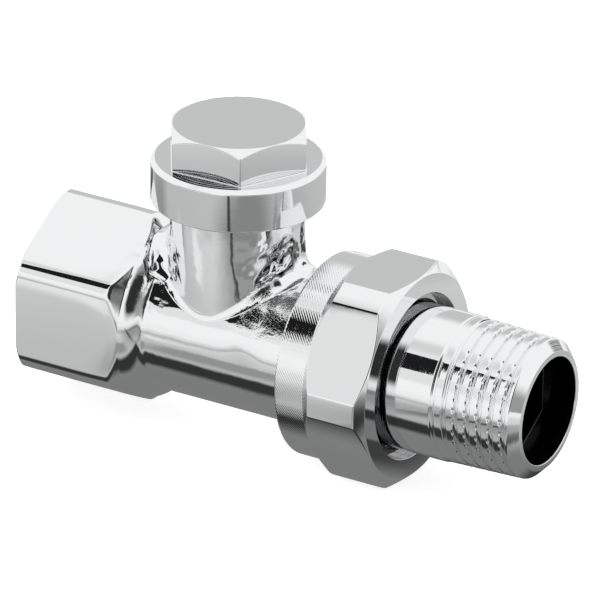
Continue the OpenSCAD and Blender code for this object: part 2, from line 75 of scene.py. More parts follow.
# Mesh tools
def mesh_object(name, verts, faces):
    """A smooth object whose normals weigh each face by its area, so that wide faces stay flat."""
    mesh = bpy.data.meshes.new(name)
    mesh.from_pydata(verts.tolist(), [], faces)
    mesh.validate()
    mesh.shade_smooth()
    count = len(mesh.vertices)
    corner = np.zeros(len(mesh.loops), np.int32)
    mesh.loops.foreach_get("vertex_index", corner)
    start = np.zeros(len(mesh.polygons), np.int32)
    total = np.zeros(len(mesh.polygons), np.int32)
    mesh.polygons.foreach_get("loop_start", start)
    mesh.polygons.foreach_get("loop_total", total)
    co = np.zeros(count * 3)
    mesh.vertices.foreach_get("co", co)
    co = co.reshape(-1, 3)
    a = co[corner[start]]
    b = co[corner[start + 1]]
    c = co[corner[start + 2]]
    d = co[corner[np.minimum(start + 3, start + total - 1)]]
    area = np.cross(c - a, d - b)
    flat = total == 3
    area[flat] = np.cross(b - a, c - a)[flat]
    normal = np.zeros((count, 3))
    for k in range(4):
        use = total > k
        np.add.at(normal, corner[start[use] + k], area[use])
    size = np.linalg.norm(normal, axis=1, keepdims=True)
    normal = normal / np.maximum(size, 1e-20)
    mesh.normals_split_custom_set_from_vertices(normal.tolist())
    obj = bpy.data.objects.new(name, mesh)
    bpy.context.scene.collection.objects.link(obj)
    return obj


def skin(rows, flip=False):
    """Vertices and faces between rows of points. A row that is one point becomes one vertex."""
    verts, index, faces = [], [], []
    for row in rows:
        if np.ptp(row, axis=0).max() < 1e-7:
            index.append([len(verts)] * len(row))
            verts.append(row[0])
        else:
            index.append(list(range(len(verts), len(verts) + len(row))))
            verts.extend(row)
    count = len(rows[0])
    for a, b in zip(index[:-1], index[1:]):
        for j in range(count):
            k = (j + 1) % count
            face = [a[j], a[k], b[k], b[j]]
            face = [v for i, v in enumerate(face) if v != face[i - 1]]
            if len(face) > 2:
                faces.append(face[::-1] if flip else face)
    return np.array(verts), faces


def build(name, parts):
    """One object from several (vertices, faces)."""
    verts, faces, base = [], [], 0
    for v, f in parts:
        verts.append(np.asarray(v, float) * MM)
        faces.extend([[i + base for i in face] for face in f])
        base += len(v)
    return mesh_object(name, np.concatenate(verts), faces)


def angles(marks, per_gap):
    """Angles round a full turn, with marks met exactly; per_gap gives the shares between marks."""
    out = []
    for k, a in enumerate(marks):
        b = marks[(k + 1) % len(marks)] + (360 if k == len(marks) - 1 else 0)
        out.extend(a + (b - a) * t for t in per_gap[k % len(per_gap)])
    return np.radians(np.array(out))


def corner_round(af, edge):
    """Where the round of a hexagon's corner has its centre, and half the angle that it takes up."""
    centre = (af / 2 - edge) / math.cos(math.pi / 6)
    return centre, math.atan2(edge / 2, centre + edge * math.cos(math.pi / 6))


def hex_radius(theta, af, edge, corner_at):
    """Radius of a hexagon with rounded corners, in the direction theta."""
    centre, limit = corner_round(af, edge)
    off = np.abs((theta - corner_at + math.pi / 6) % (math.pi / 3) - math.pi / 6)
    flat = af / 2 / np.cos(math.pi / 6 - off)
    inside = np.maximum(edge**2 - (centre * np.sin(off)) ** 2, 0)
    arc = centre * np.cos(off) + np.sqrt(inside)
    return np.where(off < limit, arc, flat)


def hex_angles(af, edge, corner_at, flat_steps=20, arc_steps=12):
    """Directions that meet the ends of a hexagon's rounded corners."""
    limit = math.degrees(corner_round(af, edge)[1])
    marks = []
    for k in range(6):
        marks += [math.degrees(corner_at) + 60 * k - limit, math.degrees(corner_at) + 60 * k + limit]
    arc = np.arange(arc_steps) / arc_steps
    flat = np.r_[0, 0.01, np.arange(1, flat_steps) / flat_steps, 0.99]
    return angles(marks, [arc, flat])


def smooth_min(a, b, k):
    """The smaller of two values, with a soft change of the width k from one to the other."""
    h = np.clip(0.5 + 0.5 * (b - a) / k, 0, 1)
    return b * (1 - h) + a * h - k * h * (1 - h)


def profile(corners, step=0.6, arc_steps=5, near=0.03, long=0.9):
    """Rows of (radius, along) through corners, each (radius, along, round radius).

    Radius and along may differ with the direction. A straight over the length long also gets a row
    near each end, which keeps the shading of its rounds off it.
    """
    count = max(np.size(c[0]) for c in corners)
    pts = []
    for c in corners:
        both = [np.broadcast_to(c[0], count), np.broadcast_to(c[1], count)]
        pts.append(np.stack(both, -1).astype(float))
    ends_in, ends_out, arcs = [], [], []
    for i, p in enumerate(pts):
        rho = corners[i][2]
        if i in (0, len(pts) - 1) or not rho:
            ends_in.append(p)
            ends_out.append(p)
            arcs.append([p])
            continue
        back, ahead = pts[i - 1] - p, pts[i + 1] - p
        lb = np.linalg.norm(back, axis=1, keepdims=True)
        la = np.linalg.norm(ahead, axis=1, keepdims=True)
        ub, ua = back / np.maximum(lb, 1e-9), ahead / np.maximum(la, 1e-9)
        cos = np.clip((ub * ua).sum(1, keepdims=True), -1, 1)
        half = (math.pi - np.arccos(cos)) / 2
        cut = np.minimum(rho * np.tan(half), 0.48 * np.minimum(lb, la))
        r = cut / np.maximum(np.tan(half), 1e-9)
        mid = ub + ua
        mid = mid / np.maximum(np.linalg.norm(mid, axis=1, keepdims=True), 1e-9)
        centre = p + mid * r / np.maximum(np.cos(half), 1e-9)
        start, end = p + ub * cut, p + ua * cut
        s, e = start - centre, end - centre
        row = []
        straight = half[:, 0] < 1e-4
        for k in range(arc_steps + 1):
            t = k / arc_steps
            turn = 2 * half
            w0 = np.sin((1 - t) * turn) / np.maximum(np.sin(turn), 1e-9)
            w1 = np.sin(t * turn) / np.maximum(np.sin(turn), 1e-9)
            q = centre + s * w0 + e * w1
            q[straight] = (start + (end - start) * t)[straight]
            row.append(q)
        ends_in.append(start)
        ends_out.append(end)
        arcs.append(row)
    rows = []
    for i in range(len(pts)):
        rows.extend(arcs[i])
        if i + 1 < len(pts):
            a, b = ends_out[i], ends_in[i + 1]
            length = np.linalg.norm(b - a, axis=1).max()
            n = max(1, int(math.ceil(length / step)))
            ts = list(np.arange(1, n) / n)
            if length > long:
                ts = [near / length] + ts + [1 - near / length]
            for t in ts:
                rows.append(a + (b - a) * t)
    return np.array(rows)


def about_x(rows, theta):
    """Points of (radius, along) rows turned about the run's axis. Theta goes from +Y to +Z."""
    r, x = rows[..., 0], rows[..., 1]
    return np.stack([x, r * np.cos(theta), r * np.sin(theta)], -1)


def about_neck(rows, theta):
    """Points of (radius, height) rows turned about the neck's axis. Theta goes from +X to +Y."""
    r, z = rows[..., 0], rows[..., 1]
    return np.stack([NECK_X + r * np.cos(theta), r * np.sin(theta), z], -1)


def helix(theta, start, end, step, pitch, shape):
    """Rows of (radius, along) for a right-hand thread: shape gives the radius from along and phase."""
    along = np.append(np.arange(start, end - step / 3, step), end)
    place = along[:, None] + 0 * theta[None, :]
    phase = place - pitch * theta[None, :] / (2 * math.pi)
    return np.stack([shape(place, phase), place], -1)


def noise(points, size, seed):
    """Smooth noise between -1 and 1, the same on each run, over cells of the given size."""
    cell = np.floor(points / size)
    t = points / size - cell
    t = t * t * (3 - 2 * t)
    cell = cell.astype(np.int64) + 4096
    total = 0
    for k in range(8):
        step = np.array([k & 1, k >> 1 & 1, k >> 2 & 1])
        key = (cell + step) * np.array([73856093, 19349663, 83492791])
        key = (key[..., 0] ^ key[..., 1] ^ key[..., 2]) + seed * 7919
        key = (key ^ key >> 13) * 12741261 & 0x7FFFFFFF
        key = (key ^ key >> 11) * 9973 & 0x7FFFFFFF
        share = np.prod(np.where(step == 1, t, 1 - t), axis=-1)
        total = total + share * ((key >> 9 & 0xFFFF) / 32767.5 - 1)
    return total


def floor_with_hole(centre_z, hole, wall, wall_x, depth, count=144):
    """A flat floor across a round bore, with a round hole that goes on as a blind way."""
    a = np.radians(np.arange(count) * 360 / count)
    reach = -centre_z * np.sin(a) + np.sqrt(wall**2 - (centre_z * np.cos(a)) ** 2)
    inner = np.minimum(hole, reach - 0.03)
    rows = []
    for r, x in ((reach, wall_x), (inner, wall_x), (inner * 0.985, wall_x + 0.06 * np.sign(depth)),
                 (inner * 0.985, wall_x + depth), (0 * inner, wall_x + depth)):
        rows.append(np.stack([x + 0 * a, r * np.cos(a), r * np.sin(a) + centre_z], -1))
    return skin(np.array(rows), flip=depth > 0)


def from_crest(along, pitch):
    """Distance to the nearest crest of a thread, as a share of its pitch."""
    return np.abs((along / pitch + 0.5) % 1 - 0.5)


def thread_depth(along, pitch):
    """Depth below the crest of a 55-degree pipe thread."""
    u = from_crest(along, pitch) * pitch
    rho, slope = 0.137329 * pitch, math.radians(27.5)
    depth = 0.640327 * pitch
    reach = rho * math.cos(slope)
    crest = rho - np.sqrt(np.maximum(rho**2 - u**2, 0))
    flank = rho * (1 - math.sin(slope)) + (u - reach) / math.tan(slope)
    v = pitch / 2 - u
    root = depth - rho + np.sqrt(np.maximum(rho**2 - v**2, 0))
    return np.where(u < reach, crest, np.where(v < reach, root, flank))


# Camera, at the photograph's place
def place_camera():
    # The focal length and the photograph's width in pixels, and the sensor's width in mm
    focal, pixels, sensor = 6200.38, 591, 36
    data = bpy.data.cameras.new("camera")
    cam = bpy.data.objects.new("camera", data)
    bpy.context.scene.collection.objects.link(cam)
    yaw, pitch, roll = (math.radians(x) for x in (30.4321, 24.9148, 0.7389))
    back = Vector((math.sin(yaw) * math.cos(pitch), -math.cos(yaw) * math.cos(pitch), math.sin(pitch)))
    flat = Vector((math.cos(yaw), math.sin(yaw), 0))
    rise = back.cross(flat)
    right = math.cos(roll) * flat + math.sin(roll) * rise
    up = -math.sin(roll) * flat + math.cos(roll) * rise
    turn = Matrix((right, up, back)).transposed().to_4x4()
    cam.matrix_world = Matrix.Translation(Vector((0.438490, -0.682496, 0.375145))) @ turn
    data.sensor_width = sensor
    data.lens = focal / pixels * sensor
    data.clip_start, data.clip_end = 0.05, 20
    bpy.context.scene.camera = cam


place_camera()


# Materials
class Graph:
    """Short calls for the nodes of one tree."""

    def __init__(self, tree):
        self.tree = tree

    def node(self, kind, inputs=(), **settings):
        node = self.tree.nodes.new(kind)
        for key, value in settings.items():
            setattr(node, key, value)
        for key, value in dict(inputs).items():
            if isinstance(value, bpy.types.NodeSocket):
                self.tree.links.new(value, node.inputs[key])
            else:
                node.inputs[key].default_value = value
        return node

    def math(self, operation, *values):
        return self.node("ShaderNodeMath", enumerate(values), operation=operation).outputs[0]

    def vector(self, operation, *values):
        return self.node("ShaderNodeVectorMath", enumerate(values), operation=operation)

    def ramp(self, value, low, high, start=0.0, end=1.0, kind="SMOOTHSTEP"):
        inputs = {"Value": value, "From Min": low, "From Max": high, "To Min": start, "To Max": end}
        return self.node("ShaderNodeMapRange", inputs, interpolation_type=kind).outputs["Result"]

    def noise(self, place, per_mm, detail=2.0):
        inputs = {"Vector": place, "Scale": per_mm / MM, "Detail": detail, "Roughness": 0.55}
        return self.node("ShaderNodeTexNoise", inputs).outputs["Fac"]

    def place(self):
        return self.node("ShaderNodeTexCoord").outputs["Object"]

    def split(self, place):
        return self.node("ShaderNodeSeparateXYZ", {0: place}).outputs

    def bump(self, height, distance, last=None):
        """The normal over a height, whose distance is in mm, on top of an earlier relief."""
        inputs = {"Strength": 1, "Distance": distance * MM, "Height": height}
        if last:
            inputs["Normal"] = last
        return self.node("ShaderNodeBump", inputs).outputs[0]

    def link(self, value, socket):
        self.tree.links.new(value, socket)


def new_material(name, colour, rough, metallic):
    mat = bpy.data.materials.new(name)
    mat.use_nodes = True
    shader = mat.node_tree.nodes["Principled BSDF"]
    shader.inputs["Base Color"].default_value = (*colour, 1)
    shader.inputs["Metallic"].default_value = metallic
    shader.inputs["Roughness"].default_value = rough
    return mat, shader, Graph(mat.node_tree)


def ring_place(g, axis, around, along):
    """A place that changes fast across turning marks and slowly along them."""
    where = g.place()
    if axis == "z":
        where = g.vector("SUBTRACT", where, (NECK_X * MM, 0, 0)).outputs[0]
    x, y, z = g.split(where)
    first, second, length = (y, z, x) if axis == "x" else (x, y, z)
    square = g.math("ADD", g.math("MULTIPLY", first, first), g.math("MULTIPLY", second, second))
    radius = g.math("SQRT", square)
    slow = g.math("MULTIPLY", first, around)
    return g.node("ShaderNodeCombineXYZ", {
        0: g.math("MULTIPLY", radius, along),
        1: g.math("MULTIPLY", length, along),
        2: slow}).outputs[0]


def hatch(g, starts, pitch):
    """Height of fine slanting tool marks about the X axis: a sine over the place and the angle."""
    x, y, z = g.split(g.place())
    turn = g.math("MULTIPLY", g.math("ARCTAN2", z, y), starts)
    return g.math("SINE", g.math("ADD", turn, g.math("MULTIPLY", x, 2 * math.pi / (pitch * MM))))


def polished(name, colour, rough, axis=None, marks=3.0, height=0.0, waves=0.0, wave_size=1.2,
             slant=None, grain=None):
    """Bright metal: turning marks about an axis, a slight waviness, and smears in its gloss.

    Slant adds tool marks as (starts, pitch, depth), and grain adds (size, depth, places).
    """
    mat, shader, g = new_material(name, colour, rough[0], 1)
    place = g.place()
    smear = g.ramp(g.noise(place, 0.35, 3), 0.35, 0.7, rough[0], rough[1], "LINEAR")
    g.link(smear, shader.inputs["Roughness"])
    last = None
    if height:
        rings = ring_place(g, axis, 0.04, marks)
        last = g.bump(g.noise(rings, 1.0, 3), height)
    if slant:
        starts, pitch, depth = slant
        last = g.bump(hatch(g, starts, pitch), depth, last)
    if waves:
        last = g.bump(g.noise(place, 1 / wave_size, 2), waves, last)
    if grain:
        size, depth, spots = grain
        folded = g.vector("ABSOLUTE", place).outputs[0]
        near = None
        for x, y, z, inner, outer, strength in spots:
            away = g.vector("DISTANCE", folded, (x * MM, y * MM, z * MM)).outputs["Value"]
            ring = g.ramp(away, inner * MM, outer * MM, strength, 0)
            near = g.math("MAXIMUM", near, ring) if near else ring
        last = g.bump(g.math("MULTIPLY", g.noise(place, 1 / size, 3), near), depth, last)
    if last:
        g.link(last, shader.inputs["Normal"])
    return mat


def rubber_look():
    mat, shader, g = new_material("rubber", (0.018, 0.018, 0.02), 0.45, 0)
    bloom = g.ramp(g.noise(g.place(), 1.5, 4), 0.3, 0.7, 0.38, 0.62, "LINEAR")
    g.link(bloom, shader.inputs["Roughness"])
    g.link(g.bump(g.noise(g.place(), 9, 2), 0.006), shader.inputs["Normal"])
    return mat


def fibre_look():
    mat, shader, g = new_material("fibre", (0.26, 0.035, 0.022), 0.8, 0)
    long_way = g.vector("MULTIPLY", g.place(), (1, 4, 4)).outputs[0]
    fleck = g.ramp(g.noise(long_way, 2.5, 5), 0.35, 0.7)
    mix = g.node("ShaderNodeMix", {0: fleck, 6: (0.2, 0.025, 0.016, 1), 7: (0.4, 0.08, 0.05, 1)},
                 data_type="RGBA")
    g.link(mix.outputs[2], shader.inputs["Base Color"])
    g.link(g.bump(fleck, 0.03), shader.inputs["Normal"])
    return mat


CHROME = (0.87, 0.88, 0.885)
# Grainy places at the foot of the neck: x, y and z in mm, where the grain begins to fade and where it
# ends, and its share
ROOTS = ((37.5, 8.0, 7.5, 3.0, 5.5, 1.0), (19.5, 8.5, 6.5, 2.0, 4.5, 0.35))
chrome = polished("chrome", CHROME, (0.02, 0.05), waves=0.0006, wave_size=0.9)
chrome_forged = polished("chrome_forged", CHROME, (0.02, 0.06), waves=0.003, wave_size=0.55,
                         grain=(0.35, 0.05, ROOTS))
chrome_turned = polished("chrome_turned", CHROME, (0.03, 0.07), "x", 3.2, 0.006)
chrome_collar = polished("chrome_collar", CHROME, (0.02, 0.05), "x", 4.5, 0.02,
                         slant=(-170, 0.42, 0.0055))
chrome_cap = polished("chrome_cap", CHROME, (0.02, 0.05), "z", 2.4, 0.003)
chrome_flange = polished("chrome_flange", CHROME, (0.05, 0.12), "z", 2.6, 0.03)
# Near-black colour inside the bores and the nut's lip gap: painted shade in these hollows
chrome_bore_painted_shade = polished("chrome_bore_painted_shade", (0.07, 0.07, 0.073), (0.15, 0.3), "x", 1.5, 0.012)
# Darker colour in the nut's front recess: painted shade in the hollow
chrome_recess_painted_shade = polished("chrome_recess_painted_shade", (0.5, 0.5, 0.51), (0.02, 0.06), "x", 3.2, 0.006)
brass = polished("brass", (0.78, 0.6, 0.3), (0.14, 0.26), "z", 2.5, 0.012)
inner_plate = polished("inner_plate", (0.5, 0.5, 0.5), (0.14, 0.26), "x", 1.6, 0.015)
rubber = rubber_look()
fibre = fibre_look()


def finish(obj, *choices):
    """Materials by region: each choice is (material, test), and test sees the faces' centres in mm."""
    mesh = obj.data
    centre = np.zeros(len(mesh.polygons) * 3)
    mesh.polygons.foreach_get("center", centre)
    x, y, z = centre.reshape(-1, 3).T / MM
    index = np.zeros(len(mesh.polygons), np.int32)
    for k, (material, test) in enumerate(choices):
        mesh.materials.append(material)
        if test:
            index[test(x, y, z)] = k
    mesh.polygons.foreach_set("material_index", index)


# The four pieces that show from outside
def union_nut():
    marks = []
    half = 30 - math.degrees(math.acos(NUT_AF / 2 / NUT_CORNER))
    for k in range(6):
        marks += [60 * k - half, 60 * k + half]
    land = np.r_[0, 0.015, 0.03, 0.045, 0.065, 0.1, np.arange(1, 6) / 6, 0.9, 0.935, 0.955, 0.97, 0.985]
    flat = np.r_[0, 0.004, 0.008, 0.012, 0.017, 0.025, np.arange(1, 20) / 20,
                 0.975, 0.983, 0.988, 0.992, 0.996]
    theta = angles(marks, [land, flat])
    out = smooth_min(hex_radius(theta, NUT_AF, 0.001, 0), NUT_CORNER, 0.085)
    lip_x = NUT_FRONT - LIP
    rows = profile([
        (NUT_MOUTH_R, NUT_BACK, 0),
        (COLLAR_R, NUT_BACK, 0.35),
        (COLLAR_R, NUT_HEX, 0.1),
        (out, NUT_HEX + out - COLLAR_R, 0.18),
        (out, NUT_FRONT - (out - NUT_FRONT_R) * 0.65, 0.25),
        (NUT_FRONT_R, NUT_FRONT, 0.2),
        (RECESS_R, NUT_FRONT, 0.12),
        (RECESS_R, NUT_FRONT - RECESS, 0.1),
        (LIP_R, NUT_FRONT - RECESS, 0.15),
        (LIP_R, lip_x, 0.15),
        (NUT_BORE_R, lip_x, 0.1)], step=0.5)
    inner = np.radians(np.arange(0, 360, 2))

    def groove(place, phase):
        end = np.clip((NUT_FRONT - 3.6 - place) / 0.8, 0, 1)
        return np.maximum(NUT_BORE_R + 1.1 * end * (1 - thread_depth(phase, PITCH) / DEPTH),
                          NUT_MOUTH_R - (place - NUT_BACK))

    def within(r, y, z):
        return np.hypot(y, z) < r

    bore = helix(inner, NUT_BACK, lip_x, 0.16, PITCH, groove)[::-1]
    nut = build("union_nut_turned", [skin(about_x(rows, theta)), skin(about_x(bore, inner))])
    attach(nut, "nut")
    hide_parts("union_nut")
    # The nut's front recess and lip bore get darker colours: painted shade in these hollows
    finish(nut, (chrome, None), (chrome_collar, lambda x, y, z: x < NUT_HEX),
           (chrome_turned, lambda x, y, z: within(NUT_FRONT_R + 0.1, y, z) & (x > NUT_HEX)),
           (chrome_recess_painted_shade, lambda x, y, z: within(RECESS_R + 0.05, y, z) & (x > NUT_HEX)
            & (x < NUT_FRONT - 0.05)),
           (chrome_bore_painted_shade, lambda x, y, z: within(LIP_R + 0.2, y, z) & (x > NUT_HEX)),
           (inner_plate, lambda x, y, z: within(NUT_MOUTH_R - 0.05, y, z) & (x < lip_x + 0.06)))


def screw_cap():
    turn = math.radians(CAP_TURN)
    theta = hex_angles(CAP_AF, CAP_EDGE, turn, 18, 8)
    out = hex_radius(theta, CAP_AF, CAP_EDGE, turn)
    rows = profile([
        (0, CAP_TOP, 0),
        (CAP_TOP_R, CAP_TOP, 0.12),
        (out, CAP_TOP - (out - CAP_TOP_R) * math.tan(math.radians(33)), 0.15),
        (out, FLANGE_Z, 0.12),
        (SKIRT_R - 0.6, FLANGE_Z, 0.12),
        (SKIRT_R, FLANGE_Z - 0.6, 0.15),
        (SKIRT_R, SKIRT_Z, 0.25),
        (CAP_LEAD_R, SKIRT_Z, 0.15),
        (CAP_LEAD_R, SKIRT_Z, 0)], step=0.4)
    inner = np.radians(np.arange(0, 360, 2))

    def groove(place, phase):
        end = np.clip((25.4 - place) / 0.4, 0, 1)
        cut = 0.5 * end * np.clip(1.15 - 2.6 * from_crest(phase, CAP_PITCH), 0, 1)
        return np.maximum(CAP_BORE_R + cut, CAP_LEAD_R - (place - SKIRT_Z))

    def inside(x, y, z):
        side = np.hypot(x - NECK_X, y)
        return (side < 10.9) & (z < 29.7) & ((z < 26) | (side < 8))

    bore = helix(inner, SKIRT_Z, CAP_BORE_TOP, 0.1, CAP_PITCH, groove)
    room = profile([
        (CAP_BORE_R + 0 * inner, CAP_BORE_TOP, 0),
        (CAP_ROOM_R, CAP_BORE_TOP, 0.2),
        (CAP_ROOM_R, CAP_ROOM_TOP - 0.8, 0.1),
        (CAP_ROOM_R - 0.8, CAP_ROOM_TOP, 0.1),
        (0, CAP_ROOM_TOP, 0)])
    cap = build("screw_cap", [
        skin(about_neck(rows[:-1], theta), flip=True),
        skin(about_neck(np.concatenate([bore, room[1:]]), inner), flip=True)])
    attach(cap, "cap")
    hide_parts("cap")
    finish(cap, (chrome, None), (chrome_cap, lambda x, y, z: z < FLANGE_Z + 0.05),
           (chrome_flange, lambda x, y, z: np.abs(z - FLANGE_Z) < 0.03),
           (inner_plate, inside))


def run_radius(x):
    """Radius of the forging's round part at x."""
    span = math.sqrt((BULB_ROUND + BULB_FOOT) ** 2 - (RUN_R + BULB_FOOT - BULB_R + BULB_ROUND) ** 2)
    knee = BULB_X + span * BULB_ROUND / (BULB_ROUND + BULB_FOOT)
    foot = BULB_X + span
    dx = x - BULB_X
    ball = BULB_R - BULB_ROUND + np.sqrt(np.maximum(BULB_ROUND**2 - dx**2, 0))
    hollow = RUN_R + BULB_FOOT - np.sqrt(np.maximum(BULB_FOOT**2 - (foot - x) ** 2, 0))
    return np.where(x < BULB_X, BULB_R, np.where(x < knee, ball, np.where(x < foot, hollow, RUN_R)))


def forging_waves(points):
    """How far the forged skin stands out at each point, in mm: rough round the foot of the neck."""
    x, y, z = np.moveaxis(points, -1, 0)
    out = np.hypot(x - NECK_X, y)
    foot = np.exp(-((np.maximum(out - 12.5, 0) / 3.2) ** 2)) * np.clip((z - 2) / 5, 0, 1)
    foot = foot * np.clip((19 - z) / 3, 0, 1) * np.clip((np.abs(x - NECK_X) - 4) / 4, 0.12, 1)
    under = np.clip((4 - z) / 6, 0, 1) * np.exp(-(((x - 17) / 4) ** 2))
    strength = 0.006 + 0.085 * foot + 0.015 * under
    wave = noise(points, 2.4, 1) + 0.6 * noise(points, 1.2, 2) + 0.5 * noise(points, 0.55, 3)
    keep = np.clip((x - 13.2) / 2, 0, 1) * np.clip((40.5 - x) / 2, 0, 1)
    ridge = 0.28 * np.exp(-(((x - 35.4) / 2.6) ** 2))
    ridge = ridge * np.clip((z - 1) / 3, 0, 1) * np.clip((15 - z) / 3, 0, 1)
    return strength * wave * keep + ridge * keep


def body():
    theta = hex_angles(INLET_AF, INLET_EDGE, math.pi / 2, 22, 14)
    from_flat = np.abs((theta - math.pi / 2) % (math.pi / 3) - math.pi / 6) / (math.pi / 6)
    out = hex_radius(theta, INLET_AF, INLET_EDGE, math.pi / 2) - CORNER_DROP * from_flat**6
    corner = INLET_AF / 2 / math.cos(math.pi / 6)
    shoulder = SHOULDER_X + corner - out
    bend = BULB_X + np.arange(1.3, 8.01, 0.25)
    meet = float(run_radius(np.array(BULB_X + 1.0)))
    after = [(run_radius(np.array(x)), x) for x in bend]
    after += [(RUN_R, x) for x in np.arange(23.4, THREAD_X - 2.3, 0.4)]
    flare_x = THREAD_X - FLARE_R
    after.append((RUN_R, flare_x))
    for k in range(1, 7):
        a = math.radians(10 * k)
        after.append((RUN_R + FLARE_R * (1 - math.cos(a)), flare_x + FLARE_R * math.sin(a)))
    corners = [
        (SOCKET_R, MOUTH_X, 0),
        (np.minimum(MOUTH_R, out - 0.1), MOUTH_X, 0.25),
        (out, MOUTH_X + np.maximum(out - MOUTH_R, 0.1) * math.tan(math.radians(30)), 0.35)]
    for back in np.arange(FACE_DROP_LENGTH, 0.9, -0.8):
        drop = FACE_DROP * (1 - back / FACE_DROP_LENGTH) ** 3
        corners.append((out - drop, shoulder - back, 0))
    corners.append((out - FACE_DROP, shoulder, 1.3))
    corners.append((meet, SHOULDER_X + corner - meet, 0.5))
    corners += [(r, x, 0) for r, x in after]
    corners.append((UNION_START_R, THREAD_X, 0))
    rows = profile(corners)
    outside = about_x(rows, theta)
    lift = forging_waves(outside)[..., None]
    outside = outside + lift * np.stack([0 * outside[..., 0], np.cos(theta) + 0 * lift[..., 0],
                                         np.sin(theta) + 0 * lift[..., 0]], -1)
    around = np.radians(np.arange(0, 360, 2.5))

    def male(place, phase):
        lead = UNION_START_R + np.minimum(place - THREAD_X, OUTLET_X - place)
        return np.minimum(UNION_R - thread_depth(phase, PITCH), lead)

    def female(place, phase):
        end = np.clip((11.3 - place) / 1.2, 0, 1)
        return np.maximum(INLET_R + end * (DEPTH - thread_depth(phase, PITCH)),
                          SOCKET_R - (place - MOUTH_X))

    union = helix(around, THREAD_X, OUTLET_X, 0.15, PITCH, male)
    socket = helix(around, MOUTH_X, INLET_END, 0.14, PITCH, female)[::-1]
    one = 0 * around
    outlet = profile([
        (UNION_START_R + one, OUTLET_X, 0),
        (11.2, OUTLET_X, 0.1),
        (9.2, OUTLET_X - 2, 0.1),
        (OUT_WAY_R, OUTLET_X - 2, 0.1),
        (OUT_WAY_R, OUT_WAY_END, 0)], step=1.5)
    inlet = profile([
        (INLET_R + one, INLET_END, 0),
        (IN_WAY_R, INLET_END, 0.1),
        (IN_WAY_R, IN_WAY_END, 0)], step=1.5)
    neck_theta = np.radians(np.arange(0, 360, 1.5))
    forging = build("valve_body_forging", [
        skin(outside),
        skin(about_x(union, around)),
        skin(about_x(outlet, around)),
        skin(about_x(np.concatenate([socket, inlet[1:]]), around), flip=True),
        floor_with_hole(LOW_WAY_Z, LOW_WAY_R, IN_WAY_R, IN_WAY_END, 9),
        floor_with_hole(HIGH_WAY_Z, HIGH_WAY_R, OUT_WAY_R, OUT_WAY_END, -4),
        skin(blend_rows(neck_theta)),
        skin(neck_top(neck_theta))])
    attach(forging, "body")
    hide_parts("valve_body")
    finish(forging, (chrome_forged, None),
           (chrome, lambda x, y, z: (x < 13.6) & (x > MOUTH_X)),
           (chrome_turned, lambda x, y, z: (x < MOUTH_X + 0.02) | (x > 41) | (z > 19.6)),
           (inner_plate, lambda x, y, z: (np.hypot(y, z) < 10.6) & (x > -0.7)
            & ((x < 19) | (x > 37.5))))


def neck_top(theta):
    """Rows from the neck's plain part over the cap's thread and down inside to the chamber's floor."""
    def male(place, phase):
        groove = 0.52 * np.clip(2.6 * from_crest(phase, CAP_PITCH) - 0.15, 0, 1)
        lead = NECK_R + np.minimum(place - NECK_THREAD_Z, NECK_TOP - place)
        return np.minimum(CAP_THREAD_R - groove, lead)

    one = 0 * theta
    start = np.stack([NECK_R + one, 19.3 + one], -1)[None]
    thread = helix(theta, NECK_THREAD_Z, NECK_TOP, 0.1, CAP_PITCH, male)
    end = profile([
        (NECK_R + one, NECK_TOP, 0),
        (NECK_MOUTH_R, NECK_TOP, 0.15),
        (NECK_MOUTH_R, BONNET_SEAT_Z, 0.1),
        (BONNET_SEAT_R, BONNET_SEAT_Z, 0.1),
        (BONNET_THREAD_R, BONNET_THREAD_Z, 0.1),
        (BONNET_THREAD_R, CHAMBER_TOP, 0.1),
        (CHAMBER_R, CHAMBER_TOP, 0.1),
        (CHAMBER_R, CHAMBER_FLOOR, 0.1),
        (0, CHAMBER_FLOOR, 0)], step=3)
    return about_neck(np.concatenate([start, thread, end[1:]]), theta)


def blend_rows(theta, ball=2.5, steps=10):
    """Rows of points from where the blend touches the run up to the neck's top."""
    reach = NECK_R + ball
    x = NECK_X + reach * np.cos(theta)
    y = reach * np.sin(theta)
    t = x[:, None] + ball * np.linspace(-0.98, 0.98, 99)[None, :]
    height = run_radius(t) + np.sqrt(ball**2 - (x[:, None] - t) ** 2)
    best = height.argmax(1)
    high = height[np.arange(len(x)), best]
    touch_x = t[np.arange(len(x)), best]
    z = np.sqrt(high**2 - y**2)
    centre = np.stack([x, y, z], -1)
    r_run = run_radius(touch_x)
    foot = np.stack([touch_x, y * r_run / high, z * r_run / high], -1)
    to_neck = np.stack([-np.cos(theta), -np.sin(theta), 0 * theta], -1)
    to_run = (foot - centre) / np.linalg.norm(foot - centre, axis=1, keepdims=True)
    turn = np.arccos((to_neck * to_run).sum(1))[:, None]
    rows = [foot + 0.15 * to_run - 0.1 * to_neck]
    for k in range(steps + 1):
        t = 1 - k / steps
        toward = to_neck * np.sin((1 - t) * turn) + to_run * np.sin(t * turn)
        q = centre + ball * toward / np.sin(turn)
        rows.append(q + (centre - q) / ball * forging_waves(q)[:, None])
    z0 = centre[:, 2]
    for t in np.linspace(0, 1, 26)[1:]:
        q = about_neck(np.stack([0 * theta + NECK_R, z0 + (19.4 - z0) * t], -1), theta)
        rows.append(q - to_neck * forging_waves(q)[:, None])
    return np.array(rows)


